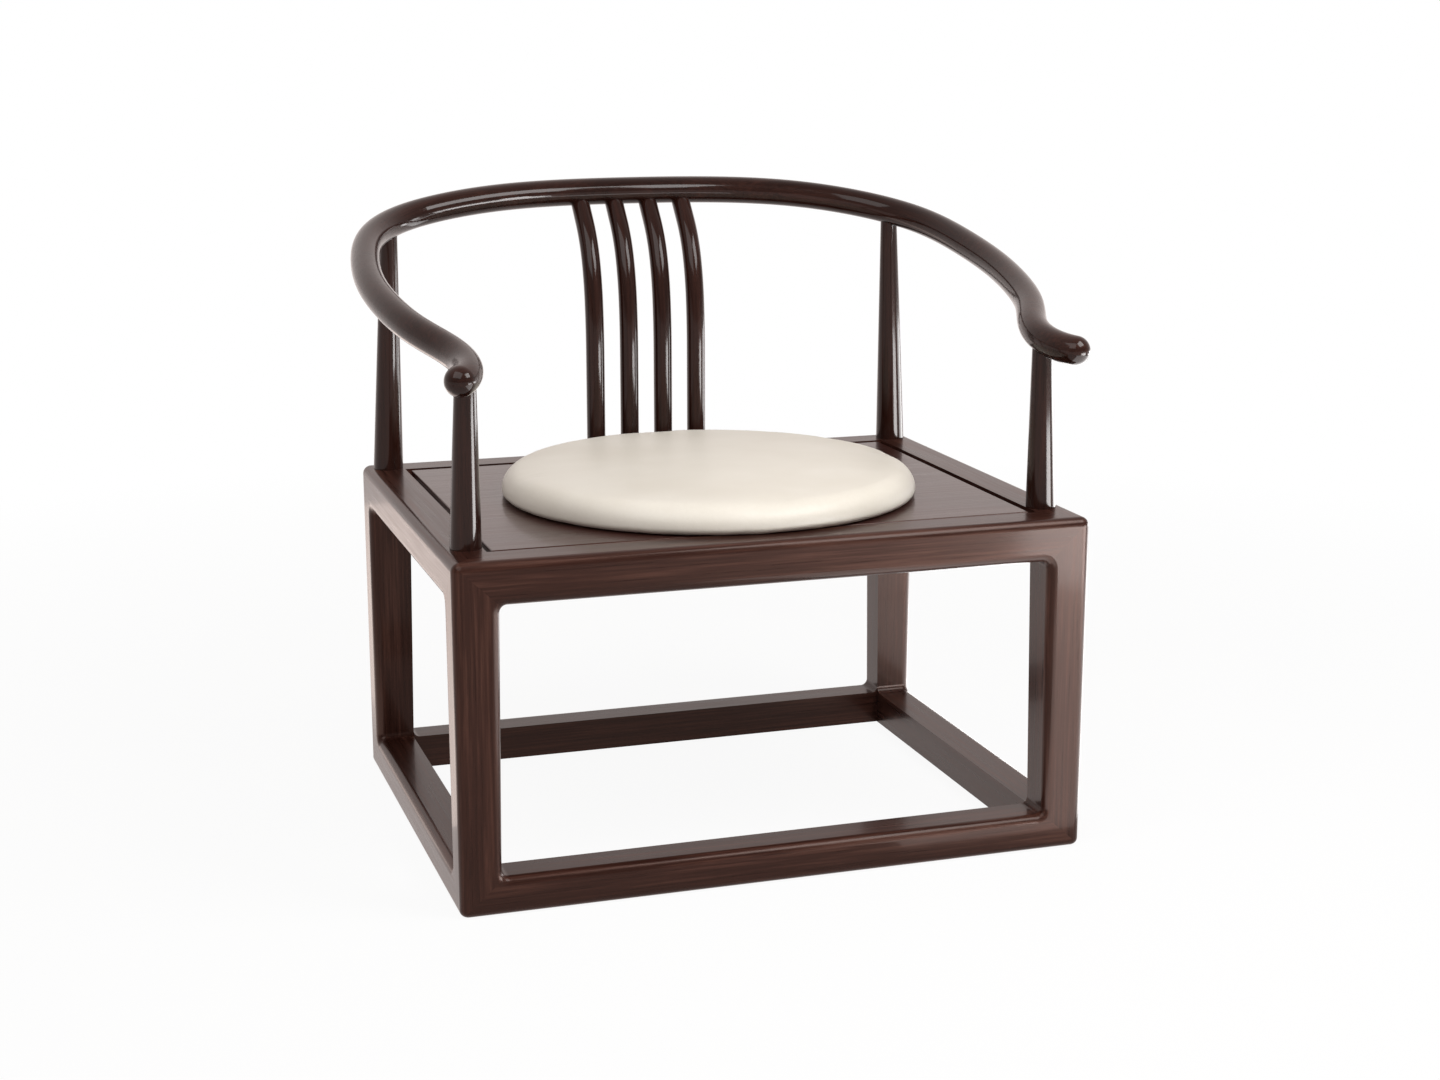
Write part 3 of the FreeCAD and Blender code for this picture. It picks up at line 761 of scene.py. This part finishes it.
@dataclass
class Cushion:
    """Loose round cushion: a leather cover, drawn tight over a crowned foam disc.

    Attributes:
        lower_round: radius of the round at the foot of the side.
        upper_round: radius of the round between the side and the crown.
        cells_across: cells of the top and of the base each way.
        cells_down: cells from the top's rim down to the base's.
        start_inset: how far inside the plain solid the cover starts.
        swell_cap: longest move of a point that is kept.
        pressure: how hard the cover is blown up.
        steps_per_frame: how finely the cloth simulation runs.
        frames: how long it runs.
        fill: how full the finished cushion is; not used.
    """

    lower_round: float = 0.0073
    upper_round: float = 0.0236
    cells_across: int = 80
    cells_down: int = 14
    start_inset: float = 0.0012
    swell_cap: float = 0.0025
    pressure: float = 4.0
    steps_per_frame: int = 5
    frames: int = 20
    fill: float = 0.9

    def crown(self, radius: float, height: float) -> tuple[float, float, float]:
        """The sphere of the top, which meets the upper round of the side smoothly.

        Args:
            radius: of the cushion.
            height: of the cushion in its middle.

        Returns:
            The sphere's radius, the distance out where it meets the side, and its slope there.
        """
        across = radius - self.upper_round
        rise = height - self.lower_round
        sphere = (across**2 + rise**2 - self.upper_round**2) / (2 * (rise - self.upper_round))
        slope = math.atan2(across, sphere - rise)
        return sphere, sphere * math.sin(slope), slope

    def side_outline(self, radius: float, slope: float) -> tuple[np.ndarray, np.ndarray]:
        """The two round arcs of the side, between the rims of the top and the base.

        Args:
            radius: of the cushion.
            slope: of the top at its rim.

        Returns:
            The distance out and the height of each ring, from the top down.
        """
        half = self.cells_down // 2
        falling = np.linspace(math.pi / 2 - slope, 0, half + 1)[1:]
        under = np.linspace(0, -math.pi / 2, self.cells_down - half + 1)[1:-1]
        out = np.concatenate((
            radius - self.upper_round + self.upper_round * np.cos(falling),
            radius - self.lower_round + self.lower_round * np.cos(under),
        ))
        up = self.lower_round + np.concatenate((
            self.upper_round * np.sin(falling),
            self.lower_round * np.sin(under),
        ))
        return out, up

    def rim_walk(self) -> tuple[np.ndarray, np.ndarray]:
        """Row and column numbers of the points on the edge of a square grid, once round."""
        count = self.cells_across
        step = np.arange(count)
        first = np.zeros(count, int)
        last = np.full(count, count)
        rows = np.concatenate((step, last, count - step, first))
        columns = np.concatenate((first, step, last, count - step))
        return rows, columns

    def faces(self, rim: np.ndarray, ring_count: int) -> np.ndarray:
        """Quads of the top, the side and the base.

        Args:
            rim: numbers of the points on the top's edge, once round.
            ring_count: how many rings of points the side has between the rims.

        Returns:
            One row of four point numbers for each face.
        """
        line = self.cells_across + 1
        grid = np.arange(line * line).reshape(line, line)
        corners = (grid[:-1, :-1], grid[1:, :-1], grid[1:, 1:], grid[:-1, 1:])
        upper = np.stack([corner.ravel() for corner in corners], axis=1)
        between = np.arange(ring_count * rim.size).reshape(ring_count, rim.size) + grid.size
        base_start = grid.size + between.size
        rings = [rim, *between, rim + base_start]
        side = []
        for above, below in zip(rings, rings[1:]):
            side.append(np.stack((above, below, np.roll(below, -1), np.roll(above, -1)), axis=1))
        return np.concatenate([upper, *side, upper[:, ::-1] + base_start])

    def surface(self, radius: float, height: float) -> tuple[np.ndarray, np.ndarray]:
        """The closed cover as points and quads about its own middle, base at zero.

        The top and the base are square grids pulled round into discs, where x is u times the
        root of (1 - v*v/2) and y is v times the root of (1 - u*u/2). The side's rings run
        round between their rims.

        Args:
            radius: of the cushion.
            height: of the cushion in its middle.

        Returns:
            The points and the faces.
        """
        sphere, top_rim, slope = self.crown(radius, height)
        base_rim = radius - self.lower_round
        line = np.linspace(-1, 1, self.cells_across + 1)
        across, back = np.meshgrid(line, line, indexing="ij")
        disc_x = across * np.sqrt(1 - back**2 / 2)
        disc_y = back * np.sqrt(1 - across**2 / 2)
        reach = np.hypot(disc_x, disc_y) * top_rim
        top_z = height - sphere + np.sqrt(sphere**2 - reach**2)
        top = np.stack((disc_x * top_rim, disc_y * top_rim, top_z), axis=-1)
        base = np.stack((disc_x * base_rim, disc_y * base_rim, np.zeros_like(disc_x)), axis=-1)
        rows, columns = self.rim_walk()
        around = np.arctan2(disc_y[rows, columns], disc_x[rows, columns])
        out, up = self.side_outline(radius, slope)
        side_x = out[:, None] * np.cos(around)
        side_y = out[:, None] * np.sin(around)
        side_z = np.repeat(up[:, None], around.size, axis=1)
        side = np.stack((side_x, side_y, side_z), axis=-1)
        points = np.concatenate([part.reshape(-1, 3) for part in (top, side, base)])
        return points, self.faces(rows * line.size + columns, len(out))

    def blown(self, piece: bpy.types.Object) -> np.ndarray:
        """Blows up a copy of the cover by a cloth simulation, then takes the copy away.

        Args:
            piece: the cover.

        Returns:
            The points of the blown copy.
        """
        scene = bpy.context.scene
        trial = piece.copy()
        trial.data = piece.data.copy()
        scene.collection.objects.link(trial)
        cloth = trial.modifiers.new("swell", "CLOTH")
        cloth.settings.use_pressure = True
        cloth.settings.uniform_pressure_force = self.pressure
        cloth.settings.effector_weights.gravity = 0.0
        cloth.settings.quality = self.steps_per_frame
        cloth.collision_settings.use_collision = False
        cloth.point_cache.frame_start = 1
        cloth.point_cache.frame_end = self.frames
        for frame in range(1, self.frames + 1):
            scene.frame_set(frame)
        graph = bpy.context.evaluated_depsgraph_get()
        points = points_of(trial.evaluated_get(graph).data)
        scene.frame_set(1)
        bpy.data.objects.remove(trial)
        return points

    def swell(self, piece: bpy.types.Object) -> None:
        """Keeps a capped part of the cover's move when it is blown up.

        Each point moves by its simulated move, brought under the cap by cap * tanh(move / cap),
        and none goes below the base, where the cushion lies flat.

        Args:
            piece: the cover.
        """
        start = points_of(piece.data)
        move = self.blown(piece) - start
        length = np.linalg.norm(move, axis=1, keepdims=True)
        kept = self.swell_cap * np.tanh(length / self.swell_cap)
        moved = start + move * kept / np.maximum(length, SHORTEST_MOVE)
        moved[:, 2] = np.maximum(moved[:, 2], start[:, 2].min())
        piece.data.vertices.foreach_set("co", moved.astype(np.float32).ravel())
        piece.data.update()
        longest, longest_kept = length.max() * MM_PER_METRE, kept.max() * MM_PER_METRE
        log.info("cushion swelled by up to %.1f mm, kept %.1f mm", longest, longest_kept)

    def build(self) -> None:
        """Builds the cushion in the space of its plain solid and dresses it."""
        low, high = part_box("cushion_cover")
        radius = (high.x - low.x) / 2 - self.start_inset
        height = high.z - low.z - self.start_inset
        points, quads = self.surface(radius, height)
        points = points + np.array(((low.x + high.x) / 2, (low.y + high.y) / 2, low.z))
        piece = make_piece("cushion_sewn", points, quads)
        self.swell(piece)
        finer = piece.modifiers.new("finer", "SUBSURF")
        finer.levels = 1
        finer.render_levels = 1
        piece.data.materials.append(CUSHION_LEATHER.material())
        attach(piece, "cushion")
        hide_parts("cushion_cover", "cushion_foam")
        log.info("cushion_sewn built, %d points", len(points))


@dataclass(frozen=True)
class Lamp:
    """A soft rectangular lamp that the camera doesn't see, or a card for highlights alone.

    Attributes:
        name: its name.
        place: its middle.
        aim: a point that it faces.
        width: its size across.
        height: its size the other way.
        level: how bright its face is.
        shine_only: whether only shiny surfaces see it.
        colour: of its light.
    """

    name: str
    place: Triple
    aim: Triple
    width: float
    height: float
    level: float
    shine_only: bool = False
    colour: Colour = (1.0, 1.0, 1.0)

    def hang(self) -> None:
        """Adds the lamp; its power is the level times pi times its area."""
        data = bpy.data.lights.new(self.name, "AREA")
        data.shape = "RECTANGLE"
        data.size = self.width
        data.size_y = self.height
        data.energy = self.level * math.pi * self.width * self.height
        data.color = self.colour
        lamp = bpy.data.objects.new(self.name, data)
        lamp.location = self.place
        away = Vector(self.place) - Vector(self.aim)
        lamp.rotation_euler = away.to_track_quat("Z", "Y").to_euler()
        lamp.visible_camera = False
        lamp.visible_diffuse = not self.shine_only
        bpy.context.scene.collection.objects.link(lamp)


LAMPS = (
    Lamp(
        name="lamp_key",
        place=(0.8, -0.95, 1.6),
        aim=(0.0, -0.1, 0.4),
        width=0.9,
        height=0.75,
        level=9.2,
    ),
    Lamp(
        name="lamp_fill",
        place=(-1.0, -1.2, 2.1),
        aim=(0.0, -0.1, 0.4),
        width=2.0,
        height=1.6,
        level=2.3,
    ),
    Lamp(
        name="card_right",
        place=(1.9, 0.25, 0.2),
        aim=(0.3, 0.0, 0.2),
        width=1.3,
        height=0.36,
        level=9.0,
        shine_only=True,
    ),
    Lamp(
        name="card_front_right",
        place=(1.12, -1.15, 0.18),
        aim=(0.3, 0.0, 0.18),
        width=0.8,
        height=0.32,
        level=22.0,
        shine_only=True,
    ),
    Lamp(
        name="card_low_front",
        place=(0.83, -0.82, 0.01),
        aim=(0.83, -0.82, 1.0),
        width=1.35,
        height=0.96,
        level=4.0,
        shine_only=True,
    ),
    Lamp(
        name="card_low_right",
        place=(1.1, 0.18, 0.01),
        aim=(1.1, 0.18, 1.0),
        width=1.36,
        height=1.0,
        level=4.0,
        shine_only=True,
    ),
    Lamp(
        name="card_low_left",
        place=(-0.6, 0.85, 0.01),
        aim=(-0.6, 0.85, 1.0),
        width=0.4,
        height=1.8,
        level=1.05,
        shine_only=True,
        colour=(1.0, 0.8, 0.7),
    ),
)


@dataclass
class Studio:
    """Pale floor, white surroundings, soft lamps and the camera.

    Attributes:
        floor_half: from the middle of the floor to its edge.
        floor_colour: of the floor by the chair.
        floor_glow: share of the white in how the floor by the chair is seen.
        glow_reach: distances from the chair between which that share grows to all.
        ambient: level of the even light on the chair.
        mirrored_walls: shares of the white that a shiny surface sees in front and behind.
        wall_turn: Y of a direction where the front's share gives over to the back's.
        warmth: the white that is seen in shiny surfaces.
        plain: the white that the camera sees.
        camera_place: where the photograph was taken from.
        camera_azimuth: turn of the view from +Y to the right, in degrees.
        camera_down: fall of the view, in degrees.
        camera_lens: focal length in millimetres.
        camera_sensor: width of the picture in the camera, in millimetres.
        lamps: the lamps and cards.
    """

    floor_half: float = 30.0
    floor_colour: Colour = (0.86, 0.86, 0.855)
    floor_glow: float = 0.93
    glow_reach: Range = (0.9, 2.2)
    ambient: float = 0.36
    mirrored_walls: Range = (0.0, 0.75)
    wall_turn: float = 0.5
    warmth: Colour = (1.0, 0.9, 0.87)
    plain: Colour = (1.0, 1.0, 1.0)
    camera_place: Triple = (-0.79855, -2.52729, 0.93290)
    camera_azimuth: float = 18.0618
    camera_down: float = 13.063
    camera_lens: float = 57.065
    camera_sensor: float = 36.0
    lamps: tuple[Lamp, ...] = LAMPS

    def seen_rays(self, bench: Bench, mirrored: Feed) -> Socket:
        """How much of the plain white a ray sees.

        Args:
            bench: lays out the nodes.
            mirrored: the share for a ray from a shiny surface.

        Returns:
            One for rays from the camera or through a clear surface, the share for a ray from
            a shiny surface, and nought for the rest.
        """
        path = bench.node("ShaderNodeLightPath")
        shiny = bench.maths("MULTIPLY", path.outputs["Is Glossy Ray"], mirrored)
        either = bench.maths("MAXIMUM", path.outputs["Is Camera Ray"], shiny)
        return bench.maths("MAXIMUM", either, path.outputs["Is Transmission Ray"])

    def seen_colour(self, bench: Bench) -> Socket:
        """Plain white for the camera, and a warmer white elsewhere."""
        path = bench.node("ShaderNodeLightPath")
        stops = ((0.0, self.warmth), (1.0, self.plain))
        return bench.tones(path.outputs["Is Camera Ray"], stops)

    def surroundings(self) -> None:
        """White all round where it is seen, and a quiet even light elsewhere.

        A shiny surface sees less of the white in front of the chair than behind it.
        """
        world = bpy.data.worlds.new("surroundings")
        bpy.context.scene.world = world
        world.use_nodes = True
        bench = Bench(world.node_tree)
        direction = bench.split(bench.node("ShaderNodeTexCoord").outputs["Generated"])
        turn = (-self.wall_turn, self.wall_turn)
        mirrored = bench.spread(direction[1], turn, self.mirrored_walls)
        seen = self.seen_rays(bench, mirrored)
        white = bench.shader(
            "ShaderNodeBackground",
            {
                "Strength": bench.spread(seen, (0.0, 1.0), (self.ambient, 1.0)),
                "Color": self.seen_colour(bench),
            },
        )
        bench.lead_out("ShaderNodeOutputWorld", white)

    def floor_material(self) -> bpy.types.Material:
        """Pale matt floor that turns to plain white away from the chair.

        Returns:
            The new material.
        """
        made, bench = new_material("studio_floor")
        matt = bench.shader("ShaderNodeBsdfDiffuse", {"Color": (*self.floor_colour, 1.0)})
        white = {"Color": self.seen_colour(bench), "Strength": 1.0}
        glow = bench.shader("ShaderNodeEmission", white)
        length = bench.node("ShaderNodeVectorMath", own_place(bench), operation="LENGTH")
        distance = length.outputs["Value"]
        share = bench.spread(distance, self.glow_reach, (self.floor_glow, 1.0))
        seen = bench.maths("MULTIPLY", share, self.seen_rays(bench, 1.0))
        mixed = bench.node("ShaderNodeMixShader", seen, matt, glow)
        bench.lead_out("ShaderNodeOutputMaterial", mixed.outputs[0])
        return made

    def floor(self) -> None:
        """A level square floor under the chair."""
        square = np.array(((-1, -1, 0), (1, -1, 0), (1, 1, 0), (-1, 1, 0)))
        floor = make_piece("studio_floor", square * self.floor_half, np.array(((0, 1, 2, 3),)))
        floor.data.materials.append(self.floor_material())

    def camera(self) -> None:
        """The camera, at the photograph's place and angle."""
        data = bpy.data.cameras.new("camera")
        data.lens = self.camera_lens
        data.sensor_width = self.camera_sensor
        camera = bpy.data.objects.new("camera", data)
        camera.location = self.camera_place
        tilt = math.radians(90 - self.camera_down)
        camera.rotation_euler = (tilt, 0.0, -math.radians(self.camera_azimuth))
        bpy.context.scene.collection.objects.link(camera)
        bpy.context.scene.camera = camera

    def set_up(self) -> None:
        """Sets up the whole studio."""
        bpy.context.scene.view_settings.view_transform = "Standard"
        self.camera()
        self.surroundings()
        self.floor()
        for lamp in self.lamps:
            lamp.hang()
        log.info("studio set up with %d lamps", len(self.lamps))


def main() -> None:
    """Loads the chair, dresses it, builds its cushion and sets up the studio."""
    logging.basicConfig(level=logging.INFO, format="%(name)s: %(message)s")
    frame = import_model()
    Studio().set_up()
    yard = Yard(frame["nodes"])
    BoxFrame().dress(yard)
    SeatDeck().dress(yard)
    Uprights().dress(yard)
    ArmRail().dress(yard)
    Cushion().build()


if __name__ == "__main__":
    main()
